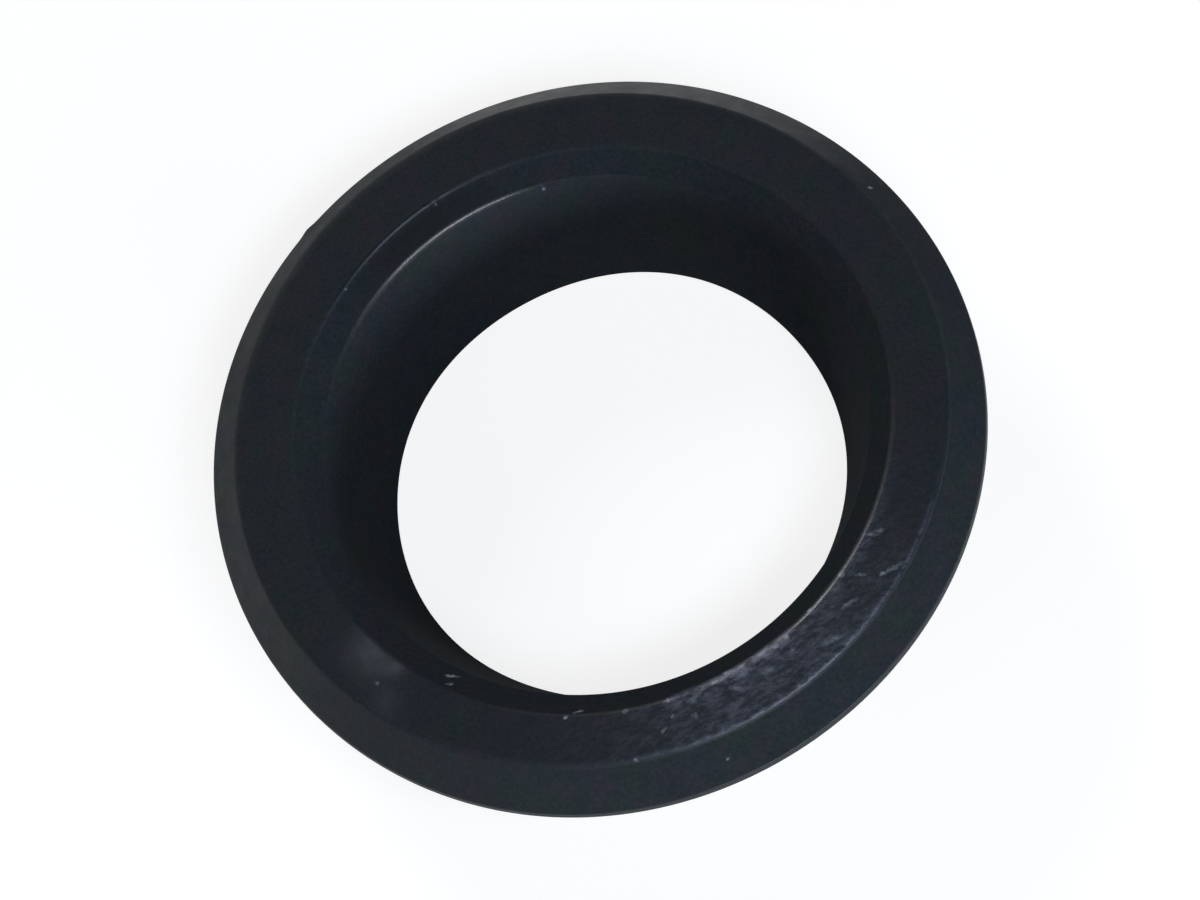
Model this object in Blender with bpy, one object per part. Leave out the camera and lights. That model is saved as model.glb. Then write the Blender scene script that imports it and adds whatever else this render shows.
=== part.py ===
"""Rubber pipe seal: a bevelled collar on a tapered spigot, with a funnel bore that grips a waste pipe.

The ring stands on its back face at z = 0, with its front face up and its axis on Z. The whole seal is one
section turned about that axis, as the cavity of its mould is.
"""
import math

import bmesh
import bpy
from mathutils import Vector

# Driving sizes in metres. Radii are built up outwards from the pipe, heights upwards from the back face.
PIPE_RADIUS = 0.0250  # outside of a 50 mm waste pipe
THROAT_SQUEEZE = 0.00235  # how much tighter than the pipe the relaxed throat is
NECK_CLEARANCE = 0.0021  # room round the pipe at the inner end of the lead-in
LEAD_IN_WIDTH = 0.0025  # bevel at the mouth that centres the pipe
LEAD_IN_DEPTH = 0.0025
FACE_WIDTH = 0.0054  # flat front face between the mouth and the outer bevel
BEVEL_WIDTH = 0.0034  # outer bevel, from the front face to the rim
BEVEL_DEPTH = 0.0038
RIM_HEIGHT = 0.0010  # upright rim, the widest part of the collar
SEAT_WIDTH = 0.0024  # shoulder behind the collar, which stops on the end of the socket
SPIGOT_LENGTH = 0.0124  # part behind the collar, which wedges into the socket
SPIGOT_TAPER = 0.0030  # how much the spigot's radius loses from the collar to the back

# Edge rounds, as left by the mould.
FACE_EDGE = 0.0010
MOUTH_EDGE = 0.0004
NECK_EDGE = 0.0003
RIM_EDGE = 0.0003
SEAT_EDGE = 0.0004
SEAT_ROOT = 0.0006
BACK_EDGE = 0.0008
THROAT_EDGE = 0.0006

SIDES = 96  # flats round the ring
ARC_STEP = math.radians(30)  # longest turn between two points of an edge round
EDGE_SHARE = 0.45  # the most of a straight stretch that one edge round may take
SHARP_ANGLE = math.radians(40)

RUBBER_COLOUR = (0.0091, 0.0112, 0.0127, 1.0)
RUBBER_ROUGHNESS = 0.55


def section_corners():
    """Return the section's corners as (radius, height) with their edge rounds, in order.

    They run down the outside from the front face to the back face, and up the bore to the mouth.
    """
    throat = PIPE_RADIUS - THROAT_SQUEEZE
    neck = PIPE_RADIUS + NECK_CLEARANCE
    mouth = neck + LEAD_IN_WIDTH
    face = mouth + FACE_WIDTH
    rim = face + BEVEL_WIDTH
    spigot_root = rim - SEAT_WIDTH
    spigot_end = spigot_root - SPIGOT_TAPER

    seat_height = SPIGOT_LENGTH
    rim_top = seat_height + RIM_HEIGHT
    front = rim_top + BEVEL_DEPTH
    neck_height = front - LEAD_IN_DEPTH

    return [
        (Vector((face, front)), FACE_EDGE),
        (Vector((rim, rim_top)), RIM_EDGE),
        (Vector((rim, seat_height)), SEAT_EDGE),
        (Vector((spigot_root, seat_height)), SEAT_ROOT),
        (Vector((spigot_end, 0.0)), BACK_EDGE),
        (Vector((throat, 0.0)), THROAT_EDGE),
        (Vector((neck, neck_height)), NECK_EDGE),
        (Vector((mouth, front)), MOUTH_EDGE),
    ]


def rounded_corner(before, corner, after, radius):
    """Return the points of an arc that rounds one corner, tangent to its two straight stretches."""
    to_before = before - corner
    to_after = after - corner
    half_angle = to_before.angle(to_after) / 2
    room = EDGE_SHARE * min(to_before.length, to_after.length)
    setback = min(radius / math.tan(half_angle), room)
    arc_radius = setback * math.tan(half_angle)

    inward = (to_before.normalized() + to_after.normalized()).normalized()
    centre = corner + inward * arc_radius / math.sin(half_angle)
    start_arm = corner + to_before.normalized() * setback - centre
    end_arm = corner + to_after.normalized() * setback - centre

    first = math.atan2(start_arm.y, start_arm.x)
    turn = math.remainder(math.atan2(end_arm.y, end_arm.x) - first, math.tau)
    steps = math.ceil(abs(turn) / ARC_STEP)
    angles = [first + turn * step / steps for step in range(steps + 1)]
    return [centre + arc_radius * Vector((math.cos(angle), math.sin(angle))) for angle in angles]


def section_outline():
    """Return the closed outline of the section, with every corner rounded."""
    corners = section_corners()
    outline = []
    for index, (corner, radius) in enumerate(corners):
        before = corners[index - 1][0]
        after = corners[(index + 1) % len(corners)][0]
        outline.extend(rounded_corner(before, corner, after, radius))
    return outline


def turned_mesh(name, outline):
    """Turn a closed outline of (radius, height) points once about the Z axis."""
    shape = bmesh.new()
    points = [shape.verts.new((radius, 0.0, height)) for radius, height in outline]
    for index, point in enumerate(points):
        shape.edges.new((points[index - 1], point))
    bmesh.ops.spin(
        shape,
        geom=shape.verts[:] + shape.edges[:],
        cent=(0.0, 0.0, 0.0),
        axis=(0.0, 0.0, 1.0),
        angle=math.tau,
        steps=SIDES,
        use_merge=True,
    )
    bmesh.ops.recalc_face_normals(shape, faces=shape.faces)
    mesh = bpy.data.meshes.new(name)
    shape.to_mesh(mesh)
    shape.free()
    mesh.shade_smooth()
    mesh.set_sharp_from_angle(angle=SHARP_ANGLE)
    return mesh


def moulded_rubber():
    """Return the seal's black rubber, with a dull sheen."""
    material = bpy.data.materials.new("moulded_rubber")
    material.use_nodes = True
    surface = material.node_tree.nodes["Principled BSDF"]
    surface.inputs["Base Color"].default_value = RUBBER_COLOUR
    surface.inputs["Roughness"].default_value = RUBBER_ROUGHNESS
    surface.inputs["Metallic"].default_value = 0.0
    return material


def build_seal_ring():
    """Add the seal to the scene."""
    mesh = turned_mesh("seal_ring", section_outline())
    mesh.materials.append(moulded_rubber())
    ring = bpy.data.objects.new("seal_ring", mesh)
    bpy.context.scene.collection.objects.link(ring)
    return ring


def main():
    for old in list(bpy.data.objects):
        bpy.data.objects.remove(old, do_unlink=True)
    build_seal_ring()


main()
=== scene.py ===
"""Looks of the rubber pipe seal: the moulded ring, the paper it lies on, the light and the camera."""

import math
from collections import namedtuple

import bpy
import numpy as np
from mathutils import Matrix, Vector


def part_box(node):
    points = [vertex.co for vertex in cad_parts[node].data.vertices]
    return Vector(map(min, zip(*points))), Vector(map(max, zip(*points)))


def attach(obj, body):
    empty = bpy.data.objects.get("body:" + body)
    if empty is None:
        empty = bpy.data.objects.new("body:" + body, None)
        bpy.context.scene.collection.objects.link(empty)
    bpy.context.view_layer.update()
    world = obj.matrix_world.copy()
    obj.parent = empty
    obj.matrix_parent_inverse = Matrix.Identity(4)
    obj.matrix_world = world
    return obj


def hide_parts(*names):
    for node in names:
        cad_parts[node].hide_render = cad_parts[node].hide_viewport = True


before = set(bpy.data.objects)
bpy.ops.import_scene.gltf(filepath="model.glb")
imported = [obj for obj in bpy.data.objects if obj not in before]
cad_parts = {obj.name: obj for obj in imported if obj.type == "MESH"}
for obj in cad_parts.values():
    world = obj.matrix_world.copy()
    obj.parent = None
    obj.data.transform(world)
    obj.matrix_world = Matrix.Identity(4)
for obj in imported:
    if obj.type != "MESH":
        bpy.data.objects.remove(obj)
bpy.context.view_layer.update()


# The seal ring
# The whole product: one moulding of black EPDM rubber, pressed in a steel mould that was turned on a lathe.
# A flat face and an outer bevel make the collar, the tapered spigot behind it wedges into the socket, and
# the bore narrows from a lead-in bevel to the throat that grips the pipe.

MM = 0.001
cad_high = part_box("seal_ring")[1]

RIM_RADIUS = cad_high.x
FRONT = cad_high.z
BEVEL_WIDTH = 3.4 * MM
BEVEL_DEPTH = 3.8 * MM
FACE_WIDTH = 5.4 * MM
LEAD_IN_WIDTH = 2.5 * MM
LEAD_IN_DEPTH = 2.5 * MM
RIM_HEIGHT = 1.0 * MM
SEAT_WIDTH = 2.4 * MM
SPIGOT_TAPER = 3.0 * MM
THROAT_RADIUS = 22.65 * MM

FACE_RADIUS = RIM_RADIUS - BEVEL_WIDTH
MOUTH_RADIUS = FACE_RADIUS - FACE_WIDTH
NECK_RADIUS = MOUTH_RADIUS - LEAD_IN_WIDTH
SPIGOT_ROOT = RIM_RADIUS - SEAT_WIDTH
SPIGOT_END = SPIGOT_ROOT - SPIGOT_TAPER
RIM_TOP = FRONT - BEVEL_DEPTH
SEAT_HEIGHT = RIM_TOP - RIM_HEIGHT
NECK_HEIGHT = FRONT - LEAD_IN_DEPTH

COLUMNS = 640  # round the ring
ARC_POINTS = 9  # along each edge round
around = math.tau * np.arange(COLUMNS) / COLUMNS


def waves(*parts):
    """Out of round, as soft rubber lies: a sum of cosines round the ring.

    Each part is a height, a count of waves and the azimuth of one crest in degrees.
    """
    return sum(height * np.cos(count * (around - math.radians(crest))) for height, count, crest in parts)


def bell(middle, reach, power=2):
    """1 at the azimuth middle, falling to both sides as exp(-x^power).

    x is the turn away from the middle over the reach, both in degrees.
    """
    away = np.angle(np.exp(1j * (around - math.radians(middle))))
    return np.exp(-(away / math.radians(reach)) ** power)


# How this seal departs from its drawing, at every column. It lies a little out of round, handling has rubbed
# some edges glossy, and the mouth is rubbed rounder on the near side.
rim_wave = waves((0.18 * MM, 1, 237), (0.06 * MM, 2, 74), (0.06 * MM, 4, -35)) - 0.05 * MM
throat_wave = waves(
    (0.19 * MM, 1, 27), (0.08 * MM, 2, 28), (0.1 * MM, 3, 45), (0.08 * MM, 5, -20),
) - 0.08 * MM
neck_wave = waves((0.15 * MM, 1, 10))
mouth_wave = waves((0.25 * MM, 1, 255)) + 0.05 * MM - 0.35 * MM * bell(168, 14) + 0.15 * MM * bell(202, 8)
mouth_round = 0.7 * MM + 0.7 * MM * bell(290, 35) + 0.9 * MM * bell(275, 9.5, 8)
mouth_edge_rough = 0.8 - 0.5 * bell(285, 52, 4) + 0.15 * bell(274, 12, 8) - 0.48 * bell(110, 22, 4)
neck_round = 0.4 * MM + 1.5 * MM * bell(100, 45, 4)
neck_edge_rough = 0.9 - 0.67 * bell(95, 34, 4)
bore_rough = 1.0 - 0.35 * bell(68, 45)
face_round = 1.1 * MM + 0.7 * MM * bell(95, 75) - 0.35 * MM * bell(300, 16)
face_edge_rough = 0.75 - 0.45 * bell(290, 54)
bevel_rough = 0.95 - 0.41 * bell(56, 36, 4) - 0.2 * bell(112, 38) - 0.46 * bell(195, 45)
rim_round = 0.3 * MM + 0.3 * MM * bell(300, 45, 4)

# A corner has its place, its edge round and the roughness there, and then the roughness of the stretch after
# it and the longest step between the rows on that stretch. With a skew above 1 its gloss leans to the end of
# the round. The skin is dull, and dullest in the bore.
Corner = namedtuple("Corner", "radius height edge edge_rough rough step skew", defaults=(1.0,))
SECTION = (
    Corner(FACE_RADIUS, FRONT, face_round, face_edge_rough, bevel_rough, 0.45 * MM),
    Corner(RIM_RADIUS + rim_wave, RIM_TOP, rim_round, 0.35, 0.65, 0.5 * MM),
    Corner(RIM_RADIUS + rim_wave, SEAT_HEIGHT, 0.3 * MM, 0.4, 0.65, 0.6 * MM),
    Corner(SPIGOT_ROOT, SEAT_HEIGHT, 0.6 * MM, 0.6, 0.65, 0.9 * MM),
    Corner(SPIGOT_END, 0.0, 0.8 * MM, 0.5, 0.65, 0.9 * MM),
    Corner(THROAT_RADIUS + throat_wave, 0.0, 0.6 * MM, 1.0, bore_rough, 0.6 * MM),
    Corner(NECK_RADIUS + neck_wave, NECK_HEIGHT, neck_round, neck_edge_rough, 1.0, 0.45 * MM, skew=2.0),
    Corner(MOUTH_RADIUS + mouth_wave, FRONT, mouth_round, mouth_edge_rough, 0.8, 0.35 * MM),
)


def edge_round(before, corner, after, radius):
    """Arc that rounds a corner at every column, tangent to its two stretches.

    Its centre lies on the bisector, at the arc's radius over the sine of half the corner's angle.
    """
    back = (before - corner) / np.linalg.norm(before - corner, axis=1, keepdims=True)
    on = (after - corner) / np.linalg.norm(after - corner, axis=1, keepdims=True)
    half = np.arccos(np.sum(back * on, axis=1, keepdims=True)) / 2
    middle = (back + on) / np.linalg.norm(back + on, axis=1, keepdims=True)
    centre = corner + middle * radius / np.sin(half)
    start = corner + back * radius / np.tan(half) - centre
    end = corner + on * radius / np.tan(half) - centre
    first = np.arctan2(start[:, 1], start[:, 0])
    last = np.arctan2(end[:, 1], end[:, 0])
    turn = (last - first + math.pi) % math.tau - math.pi
    angle = first + turn * np.linspace(0.0, 1.0, ARC_POINTS)[:, None]
    return centre + radius * np.stack([np.cos(angle), np.sin(angle)], axis=2)


def section_rows(section):
    """Closed outline of the section at every column, as (row, column, radius and height), and its roughness.

    Every corner is an arc, with evenly spaced rows on the stretch that follows it. The roughness goes over
    from one stretch to the next along the arc, and twice a sine wave, cut at 1, brings in the arc's own. The
    wave runs over the way along the arc, raised to the power of the skew.
    """
    even = np.ones(COLUMNS)
    points = [np.stack([corner.radius * even, corner.height * even], axis=1) for corner in section]
    next_points = points[1:] + points[:1]
    arcs = [
        edge_round(points[i - 1], points[i], next_points[i], (corner.edge * even)[:, None])
        for i, corner in enumerate(section)
    ]
    next_arcs = arcs[1:] + arcs[:1]
    along = np.linspace(0.0, 1.0, ARC_POINTS)[:, None]
    rows = []
    roughness = []
    for i, corner in enumerate(section):
        gap = next_arcs[i][0] - arcs[i][-1]
        count = max(2, math.ceil(float(np.linalg.norm(gap, axis=1).max()) / corner.step))
        share = np.linspace(0.0, 1.0, count + 1)[1:-1, None, None]
        rows += [arcs[i], arcs[i][-1] + share * gap]
        crest = np.minimum(2.0 * np.sin(math.pi * along ** corner.skew), 1.0)
        across = section[i - 1].rough * (1.0 - along) + corner.rough * along
        on_arc = (across * (1.0 - crest) + corner.edge_rough * crest) * even
        roughness += [on_arc, corner.rough * np.ones((count - 1, COLUMNS))]
    return np.concatenate(rows), np.concatenate(roughness)


def turned_grid(rows):
    """Ring turned from the section: a point of radius r and height z lies at (r cos a, r sin a, z).

    The angle a is a full turn times the column over the count of columns.
    """
    radius, height = rows[..., 0], rows[..., 1]
    return np.stack([radius * np.cos(around), radius * np.sin(around), height], axis=2)


def spot(points, place, reach):
    """1 at a place, in millimetres, and fading round it as exp(-(distance / reach)^2)."""
    away = np.linalg.norm(points - np.array(place) * MM, axis=2) / (reach * MM)
    return np.exp(-away ** 2)


def ramp(past, width):
    """0 before a line and 1 behind it: the distance past the line over the width, cut at 0 and 1."""
    return np.clip(past / width, 0.0, 1.0)


def streak(past, width):
    """1 on a line and fading to both sides as exp(-(distance / width)^2)."""
    return np.exp(-(past / width) ** 2)


def ring_mesh(name, points):
    """Mesh of a grid that closes on itself both ways: each face joins a row and a column to the next ones."""
    row, column = np.meshgrid(np.arange(points.shape[0]), np.arange(COLUMNS), indexing="ij")
    next_row = (row + 1) % points.shape[0]
    next_column = (column + 1) % COLUMNS
    corners = [
        row * COLUMNS + column, next_row * COLUMNS + column,
        next_row * COLUMNS + next_column, row * COLUMNS + next_column,
    ]
    mesh = bpy.data.meshes.new(name)
    mesh.from_pydata(points.reshape(-1, 3), [], np.stack(corners, axis=2).reshape(-1, 4))
    mesh.shade_smooth()
    return mesh


def paint(mesh, name, values):
    """Store one number a point, which the material reads by that name."""
    mesh.attributes.new(name, "FLOAT", "POINT").data.foreach_set("value", values.astype(np.float32).ravel())


def linear(hex_colour):
    """Linear RGBA of an sRGB hex colour: below 0.04045 a twelfth part, above it a power of 2.4."""
    channels = np.array([int(hex_colour[i:i + 2], 16) / 255 for i in (1, 3, 5)])
    low = channels / 12.92
    high = ((channels + 0.055) / 1.055) ** 2.4
    return (*np.where(channels <= 0.04045, low, high), 1.0)


def add_node(tree, kind, inputs, **properties):
    """Add a node with its properties. An input is a plain value, or the output of another node to link."""
    new = tree.nodes.new(kind)
    for name, value in properties.items():
        setattr(new, name, value)
    for name, value in inputs.items():
        if isinstance(value, bpy.types.NodeSocket):
            tree.links.new(value, new.inputs[name])
        else:
            new.inputs[name].default_value = value
    return new


# Marks that handling left, each with its place, its length and its width in millimetres, and the azimuth it
# runs along. Grit is pale and sits in the skin, and a scratch is greyer. The grit along the near side of the
# mouth's edge also paints glints of that edge's highlight.
GRIT_AND_GLINTS = (
    (34.96, 9.63, 15.8, 0.5, 0.45, 0),
    (-22.56, -16.73, 15.9, 1.2, 0.36, -27),
    (-23.07, -17.71, 16.9, 0.65, 0.4, -10),
    (-5.2, -29.55, 17.2, 0.75, 0.5, 10),
    (-9.14, -28.57, 17.2, 0.6, 0.45, 15),
    (-13.2, -26.3, 17.2, 1.0, 0.3, -8),
    (-14.5, -26.45, 17.2, 0.45, 0.36, 20),
    (18.4, -27.85, 17.2, 0.7, 0.4, 10),
    (14.95, -25.96, 17.2, 0.7, 0.6, 30),
    (7.6, -29.2, 17.2, 0.5, 0.6, 60),
    # On the mouth's near edge: grit that also paints glints of its highlight.
    (-0.4, -30.0, 17.1, 0.9, 0.45, 0),
    (1.0, -29.6, 17.0, 1.0, 0.45, 3),
    (2.6, -29.7, 17.0, 0.7, 0.45, 5),
    (4.9, -29.5, 17.0, 1.2, 0.5, 9),
    (6.3, -29.6, 17.1, 0.6, 0.45, 12),
    (10.7, -27.8, 17.0, 0.6, 0.4, 20),
)
SCRATCHES = (
    (20.1, -23.8, 17.2, 0.9, 0.45, -11),
    (19.2, -23.75, 17.2, 1.8, 0.3, -30),
    (19.6, -27.85, 17.2, 2.2, 0.5, 4),
    (16.54, -26.94, 17.2, 1.2, 0.35, -27),
    (11.4, -31.55, 17.2, 2.6, 0.6, -2),
    (14.4, -29.03, 17.2, 2.0, 0.4, 7),
    (7.5, -30.7, 17.2, 0.7, 0.5, 30),
    (4.7, -31.5, 17.2, 1.3, 0.7, 15),
    (1.2, -31.6, 17.2, 1.4, 0.5, -40),
    (-29.28, -14.51, 17.2, 0.5, 0.36, 0),
    (-2.97, -30.66, 17.2, 0.7, 0.5, 20),
    (-3.44, -32.14, 17.2, 0.5, 0.6, 0),
    (-5.39, -31.2, 17.2, 0.5, 0.4, 0),
    (-6.75, -32.1, 17.2, 0.9, 0.4, 25),
    (-3.8, 28.9, 17.0, 0.35, 0.25, 0),
    (6.5, 26.3, 14.7, 0.4, 0.25, -20),
    (-15.5, 24.9, 17.0, 0.35, 0.25, 0),
    (-10.3, -33.46, 17.2, 0.4, 0.35, 0),
    (-2.54, -36.8, 15.1, 0.4, 0.3, 0),
)
MARK_DEPTH = 1.5 * MM  # how far above and below its place a mark reaches
MARK_WANDER = 0.35 * MM  # the noise stays near its middle, so an edge wanders by about a third of this


def nearest_mark(tree, place, marks):
    """Distance to the nearest mark, where 1 is that mark's edge.

    It is the length of the place in the mark's own frame, in halves of the mark's length, width and depth.
    """
    distances = []
    for x, y, z, length, width, turn in marks:
        local = add_node(tree, "ShaderNodeMapping", {
            "Vector": place, "Location": (x * MM, y * MM, z * MM), "Rotation": (0.0, 0.0, math.radians(turn)),
            "Scale": (length / 2 * MM, width / 2 * MM, MARK_DEPTH),
        }, vector_type="TEXTURE").outputs["Vector"]
        away = add_node(tree, "ShaderNodeVectorMath", {0: local}, operation="LENGTH")
        distances.append(away.outputs["Value"])
    nearest = distances[0]
    for away in distances[1:]:
        nearer = add_node(tree, "ShaderNodeMath", {0: nearest, 1: away}, operation="MINIMUM")
        nearest = nearer.outputs["Value"]
    return nearest


def moulded_epdm():
    """Carbon-black EPDM rubber as pressed: a dull skin that copies the mould's fine grain and turning marks.

    The skin leans to blue, green and violet in patches a few millimetres wide, as oily rubber does. Where it
    was rubbed it is paler and glossier, and grey wax has bloomed on the face at one place. The paleness on
    the near side of the face is partly painted sheen and painted edge highlights, and the far side of the
    lead-in is painted blacker as shade.
    """
    material = bpy.data.materials.new("moulded_epdm_rubber")
    material.use_nodes = True
    tree = material.node_tree
    tree.nodes.clear()
    place = add_node(tree, "ShaderNodeTexCoord", {}).outputs["Object"]
    # Painted attributes: the roughness, the scuff with its painted sheen and highlights, the wax bloom, and
    # the painted shade of the lead-in.
    skin_rough, scuffed_and_sheened, bloomed, lead_in_painted_shade = (
        add_node(tree, "ShaderNodeAttribute", {}, attribute_name=name).outputs["Fac"]
        for name in ("roughness", "scuff_and_sheen", "bloom", "lead_in_painted_shade")
    )

    # Noises, each at a real size in millimetres: two for the patches of colour, then lumps of the skin,
    # rubbed spots, drawn out along the near side, and the grain, coarser than the real 0.1 mm so that it
    # shows.
    drawn_out = add_node(tree, "ShaderNodeMapping", {
        "Vector": place, "Scale": (0.5, 1.0, 1.0),
    }).outputs["Vector"]
    patches, tints, lumps, rubs, grain = (
        add_node(tree, "ShaderNodeTexNoise", {
            "Vector": where, "Scale": 1 / (size * MM), "Detail": detail, "Roughness": rise,
        }).outputs["Fac"]
        for where, size, detail, rise in (
            (place, 5.0, 4.0, 0.6),
            (place, 3.0, 4.0, 0.6),
            (place, 2.2, 2.0, 0.6),
            (drawn_out, 0.7, 5.0, 0.75),
            (place, 0.4, 3.0, 0.6),
        )
    )

    # Turning marks of the mould: noise along the radius alone, with a cut every 0.35 mm.
    flat = add_node(tree, "ShaderNodeVectorMath", {0: place, 1: (1.0, 1.0, 0.0)}, operation="MULTIPLY")
    off_axis = add_node(tree, "ShaderNodeVectorMath", {0: flat.outputs["Vector"]}, operation="LENGTH")
    cuts = add_node(tree, "ShaderNodeTexNoise", {
        "W": off_axis.outputs["Value"], "Scale": 1 / (0.35 * MM), "Detail": 1.0,
    }, noise_dimensions="1D").outputs["Fac"]

    # The marks, with edges that wander by about a tenth of a millimetre, and broken up by the grain.
    wander = add_node(tree, "ShaderNodeTexNoise", {"Vector": place, "Scale": 1 / (0.4 * MM), "Detail": 1.0})
    middle = add_node(tree, "ShaderNodeVectorMath", {
        0: wander.outputs["Color"], 1: (0.5, 0.5, 0.5),
    }, operation="SUBTRACT")
    wandered = add_node(tree, "ShaderNodeVectorMath", {
        0: middle.outputs["Vector"], 1: (MARK_WANDER, MARK_WANDER, MARK_WANDER), 2: place,
    }, operation="MULTIPLY_ADD").outputs["Vector"]
    broken = add_node(tree, "ShaderNodeMapRange", {
        "Value": grain, "From Min": 0.4, "From Max": 0.58, "To Min": 0.3,
    }).outputs["Result"]
    grit_and_glints, scratch = (
        add_node(tree, "ShaderNodeMapRange", {
            "Value": nearest_mark(tree, wandered, marks), "From Min": 1.5, "From Max": 0.0, "To Max": broken,
        }, interpolation_type="SMOOTHSTEP").outputs["Result"]
        for marks in (GRIT_AND_GLINTS, SCRATCHES)
    )

    # Rubbed spots are the peaks of their noise, where the face is scuffed. A little dust lies between them,
    # and the wax is thickest on the lumps. Rubs and dust follow the scuff attribute, which also carries
    # painted sheen and painted highlights along the face's edges, so they paint these too.
    peaks = add_node(tree, "ShaderNodeMapRange", {
        "Value": rubs, "From Min": 0.35, "From Max": 0.75,
    }, interpolation_type="SMOOTHSTEP").outputs["Result"]
    rubbed_and_sheen = add_node(tree, "ShaderNodeMath", {0: peaks, 1: scuffed_and_sheened}, operation="MULTIPLY").outputs["Value"]
    dust_and_sheen = add_node(tree, "ShaderNodeMath", {0: scuffed_and_sheened, 1: 0.9}, operation="MULTIPLY").outputs["Value"]
    waxed = add_node(tree, "ShaderNodeMath", {0: lumps, 1: bloomed}, operation="MULTIPLY").outputs["Value"]

    # Colour: the patches first, then the grain's light and dark. Over them come the painted shade of the
    # lead-in, the wax, the dust and the rubs, both partly painted sheen and highlight, and the marks, of
    # which some grit paints glints.
    toward_green = add_node(tree, "ShaderNodeMapRange", {"Value": patches, "From Min": 0.4, "From Max": 0.62})
    toward_violet = add_node(tree, "ShaderNodeMapRange", {"Value": tints, "From Min": 0.48, "From Max": 0.68})
    colour = linear("#171f26")
    for share, tone in (
        (toward_green.outputs["Result"], "#182222"),
        (toward_violet.outputs["Result"], "#1f1e27"),
    ):
        colour = add_node(tree, "ShaderNodeMix", {
            "Factor": share, "A": colour, "B": linear(tone),
        }, data_type="RGBA").outputs["Result"]
    light = add_node(tree, "ShaderNodeMapRange", {
        "Value": grain, "From Min": 0.25, "From Max": 0.75, "To Min": 0.6, "To Max": 1.4,
    }).outputs["Result"]
    colour = add_node(tree, "ShaderNodeHueSaturation", {"Value": light, "Color": colour}).outputs["Color"]
    for share, tone in (
        (lead_in_painted_shade, "#0a0d10"),
        (waxed, "#4a5054"),
        (dust_and_sheen, "#292c38"),
        (rubbed_and_sheen, "#6a6f7f"),
        (scratch, "#666d79"),
        (grit_and_glints, "#989fa9"),
    ):
        colour = add_node(tree, "ShaderNodeMix", {
            "Factor": share, "A": colour, "B": linear(tone),
        }, data_type="RGBA").outputs["Result"]

    # Roughness: the skin's own, a little uneven with the lumps, and glossier where it was rubbed.
    rough = add_node(tree, "ShaderNodeMath", {0: skin_rough, 1: 0.12}, operation="SUBTRACT").outputs["Value"]
    for amount, share in ((lumps, 0.24), (rubbed_and_sheen, -0.2)):
        rough = add_node(tree, "ShaderNodeMath", {0: amount, 1: share, 2: rough}, operation="MULTIPLY_ADD")
        rough = rough.outputs["Value"]

    # Relief in millimetres: lumps, grain, turning marks and rubs.
    relief = 0.0
    for amount, height in ((lumps, 0.02), (grain, 0.008), (cuts, 0.006), (rubbed_and_sheen, 0.015)):
        relief = add_node(tree, "ShaderNodeMath", {0: amount, 1: height, 2: relief}, operation="MULTIPLY_ADD")
        relief = relief.outputs["Value"]
    bump = add_node(tree, "ShaderNodeBump", {"Height": relief, "Distance": MM, "Strength": 1.0})

    surface = add_node(tree, "ShaderNodeBsdfPrincipled", {
        "Base Color": colour, "Roughness": rough, "Normal": bump.outputs["Normal"],
        "Specular IOR Level": 0.25, "IOR": 1.5,
    })
    add_node(tree, "ShaderNodeOutputMaterial", {"Surface": surface.outputs["BSDF"]})
    return material


outline, roughness = section_rows(SECTION)
skin = turned_grid(outline)

# Two flaws of this seal, each with its place, its reach and how far it moves the skin, in millimetres: a nick
# in the mouth's edge on the far side, and a snag that stands out of the rim.
for place, reach, push in (
    ((-3.8, 29.2, 17.1), 0.45, (0.0, 0.12, -0.1)),
    ((-16.5, 34.7, 13.3), 0.8, (-0.07, 0.15, 0.0)),
):
    skin = skin + spot(skin, place, reach)[..., None] * np.array(push) * MM

# Where the near side of the face is scuffed, with painted sheen over the same zone. A pale haze lies along
# the mouth, and both edges of the face are chafed pale in lines 0.2 to 0.3 mm wide. Haze and lines are
# partly wear and partly painted highlight, lying where the edges' highlights fall.
radius, height = outline[..., 0], outline[..., 1]
on_face = (
    ramp(radius - MOUTH_RADIUS, 0.4 * MM)
    * ramp(FACE_RADIUS + 0.3 * MM - radius, 0.5 * MM)
    * (height > FRONT - 1.0 * MM)
)
haze_and_sheen = ramp(MOUTH_RADIUS + 1.5 * MM - radius, 1.0 * MM) * (1.5 * bell(273, 12.5, 8) + 0.5 * bell(300, 16))
mouth_chafe_and_highlight = 2.0 * streak(radius - MOUTH_RADIUS - 0.1 * MM, 0.2 * MM) * bell(273, 11, 4)
face_chafe_and_highlight = 0.8 * streak(radius - FACE_RADIUS + 0.15 * MM, 0.13 * MM) * bell(288, 28, 4)
scuff_and_sheen = on_face * (0.48 * bell(279, 26) + haze_and_sheen) + (height > FRONT - 0.8 * MM) * (mouth_chafe_and_highlight + face_chafe_and_highlight)

# Where wax bloomed, at the left of the face: each spot's place and reach in millimetres, and its strength.
bloom_spots = sum(
    strength * spot(skin, place, reach)
    for place, reach, strength in (
        ((-28.3, -11.4, 17.2), 2.3, 1.3),
        ((-27.0, -13.4, 17.2), 1.2, 0.8),
        ((-29.4, -16.8, 17.2), 1.5, 0.5),
    )
)
bloom = on_face * np.clip(bloom_spots, 0.0, 1.0)

# Painted shade: the colour is made blacker on the far side of the lead-in, standing in for shade there.
in_lead_in = (
    ramp(radius - NECK_RADIUS, 0.4 * MM)
    * ramp(MOUTH_RADIUS - 0.3 * MM - radius, 0.4 * MM)
    * (height > NECK_HEIGHT)
)
lead_in_painted_shade = in_lead_in * 0.7 * bell(103, 22)

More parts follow.
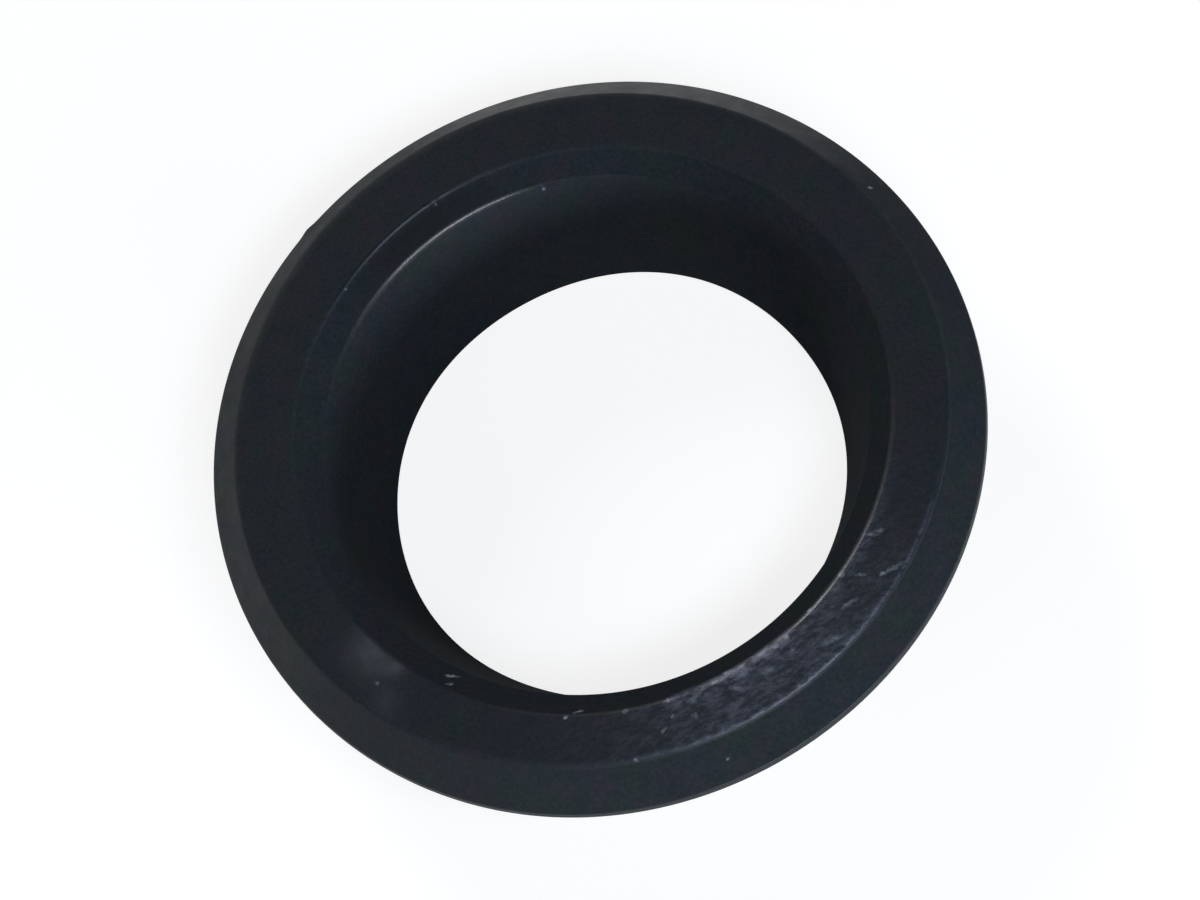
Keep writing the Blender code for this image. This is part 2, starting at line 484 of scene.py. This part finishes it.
seal_mesh = ring_mesh("seal_moulding", skin)
paint(seal_mesh, "roughness", roughness)
paint(seal_mesh, "scuff_and_sheen", scuff_and_sheen)
paint(seal_mesh, "bloom", bloom)
paint(seal_mesh, "lead_in_painted_shade", lead_in_painted_shade)
seal = bpy.data.objects.new("seal_moulding", seal_mesh)
bpy.context.scene.collection.objects.link(seal)
seal_mesh.materials.append(moulded_epdm())
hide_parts("seal_ring")
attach(seal, "root")


# The paper
# A seamless sheet of matt white studio paper: flat under the seal, and curling up far outside the view.
# The lens sees it almost white, with the seal's soft shadow on it, but it throws little light back.

PAPER_REACH = 3.0
PAPER_FLAT = 2.0
PAPER_RISE = 0.4
PAPER_STEPS = 60
PAPER_LIFT = 0.78  # light that the paper gives off to whatever should see it white
SHADED_SHARE = 0.15  # how much of that lift is left down the bore


def paper_mesh():
    """Square grid, level out to the flat radius. Past it the height grows with the square of the way past."""
    line = np.linspace(-PAPER_REACH, PAPER_REACH, PAPER_STEPS + 1)
    x, y = np.meshgrid(line, line)
    past = np.clip((np.hypot(x, y) - PAPER_FLAT) / (PAPER_REACH - PAPER_FLAT), 0.0, None)
    points = np.stack([x, y, PAPER_RISE * past ** 2], axis=2).reshape(-1, 3)
    row, column = np.meshgrid(np.arange(PAPER_STEPS), np.arange(PAPER_STEPS), indexing="ij")
    first = row * (PAPER_STEPS + 1) + column
    faces = np.stack([first, first + 1, first + PAPER_STEPS + 2, first + PAPER_STEPS + 1], axis=2)
    mesh = bpy.data.meshes.new("studio_paper")
    mesh.from_pydata(points, [], faces.reshape(-1, 4))
    mesh.shade_smooth()
    return mesh


def matt_paper():
    """Uncoated paper. What the lens, a reflection or a clear part sees is lifted to white, shadow and all.

    Down the bore the paper lies in the seal's shade, so there a reflection sees it almost as it is lit.
    """
    material = bpy.data.materials.new("matt_studio_paper")
    material.use_nodes = True
    tree = material.node_tree
    tree.nodes.clear()
    place = add_node(tree, "ShaderNodeTexCoord", {}).outputs["Object"]
    off_axis = add_node(tree, "ShaderNodeVectorMath", {0: place}, operation="LENGTH").outputs["Value"]
    outside = add_node(tree, "ShaderNodeMapRange", {
        "Value": off_axis, "From Min": THROAT_RADIUS, "From Max": SPIGOT_END, "To Min": SHADED_SHARE,
    }).outputs["Result"]
    path = add_node(tree, "ShaderNodeLightPath", {})
    reflected = add_node(tree, "ShaderNodeMath", {
        0: path.outputs["Is Glossy Ray"], 1: outside,
    }, operation="MULTIPLY").outputs["Value"]
    seen = add_node(tree, "ShaderNodeMath", {
        0: path.outputs["Is Camera Ray"], 1: reflected,
    }, operation="MAXIMUM").outputs["Value"]
    seen = add_node(tree, "ShaderNodeMath", {
        0: seen, 1: path.outputs["Is Transmission Ray"],
    }, operation="MAXIMUM").outputs["Value"]
    lift = add_node(tree, "ShaderNodeMapRange", {"Value": seen, "To Max": PAPER_LIFT}).outputs["Result"]
    surface = add_node(tree, "ShaderNodeBsdfPrincipled", {
        "Base Color": linear("#a0a0a0"), "Roughness": 0.9, "Specular IOR Level": 0.0,
        "Emission Color": linear("#ffffff"), "Emission Strength": lift,
    })
    add_node(tree, "ShaderNodeOutputMaterial", {"Surface": surface.outputs["BSDF"]})
    return material


paper = bpy.data.objects.new("studio_paper", paper_mesh())
bpy.context.scene.collection.objects.link(paper)
paper.data.materials.append(matt_paper())


# Studio light
# Five soft boxes in a dim grey room. One hangs over the near side and lights the face, and one stands low
# under it and draws the bright edges. The window box lights the far bevel, and two weak ones the sides.

LAMP_DISTANCE = 1.2
ROOM_LEVEL = 0.02


def soft_box(name, azimuth, elevation, width, height, power, colour="#ffffff"):
    """Rectangular lamp aimed at the seal from an azimuth and an elevation in degrees."""
    lamp = bpy.data.lights.new(name, "AREA")
    lamp.shape = "RECTANGLE"
    lamp.size = width
    lamp.size_y = height
    lamp.energy = power
    lamp.color = linear(colour)[:3]
    holder = bpy.data.objects.new(name, lamp)
    bpy.context.scene.collection.objects.link(holder)
    turn, lift = math.radians(azimuth), math.radians(elevation)
    way = Vector((math.cos(lift) * math.cos(turn), math.cos(lift) * math.sin(turn), math.sin(lift)))
    holder.location = LAMP_DISTANCE * way
    holder.rotation_euler = (-way).to_track_quat("-Z", "Y").to_euler()


soft_box("near_soft_box", azimuth=281, elevation=54, width=0.7, height=0.3, power=7.2, colour="#e6eefa")
soft_box("low_soft_box", azimuth=283, elevation=7, width=1.0, height=0.14, power=11.6, colour="#f0f4ff")
soft_box("window_soft_box", azimuth=100, elevation=30, width=0.4, height=0.3, power=5.0)
soft_box("right_soft_box", azimuth=330, elevation=16, width=0.5, height=0.25, power=2.0)
soft_box("left_soft_box", azimuth=207, elevation=35, width=0.6, height=0.5, power=1.6)

world = bpy.data.worlds.new("studio_room")
bpy.context.scene.world = world
world.use_nodes = True
world.node_tree.nodes["Background"].inputs["Color"].default_value = linear("#ffffff")
world.node_tree.nodes["Background"].inputs["Strength"].default_value = ROOM_LEVEL


# Camera
# The photograph looks down on the front face, tilted off the ring's axis and rolled. The centre of the face
# lies a little to the left of the picture's centre and above it.

VIEW_TILT = math.radians(24.35)
VIEW_ROLL = math.radians(26.75)
VIEW_DISTANCE = 525 * MM
FACE_CENTRE_RIGHT = -1.134 * MM
FACE_CENTRE_DOWN = -2.67 * MM
SENSOR_WIDTH = 36.0
LENS = 162.7
NEAREST_SEEN = 50 * MM

camera_data = bpy.data.cameras.new("photo_view")
camera_data.sensor_width = SENSOR_WIDTH
camera_data.lens = LENS
camera_data.clip_start = NEAREST_SEEN
camera = bpy.data.objects.new("photo_view", camera_data)
bpy.context.scene.collection.objects.link(camera)
turn = Matrix.Rotation(VIEW_TILT, 3, "X") @ Matrix.Rotation(-VIEW_ROLL, 3, "Z")
right, up, back = turn.transposed()
face_centre = Vector((0.0, 0.0, FRONT))
camera.location = face_centre - FACE_CENTRE_RIGHT * right + FACE_CENTRE_DOWN * up + VIEW_DISTANCE * back
camera.rotation_euler = turn.to_euler()
bpy.context.scene.camera = camera

bpy.context.scene.view_settings.view_transform = "Standard"
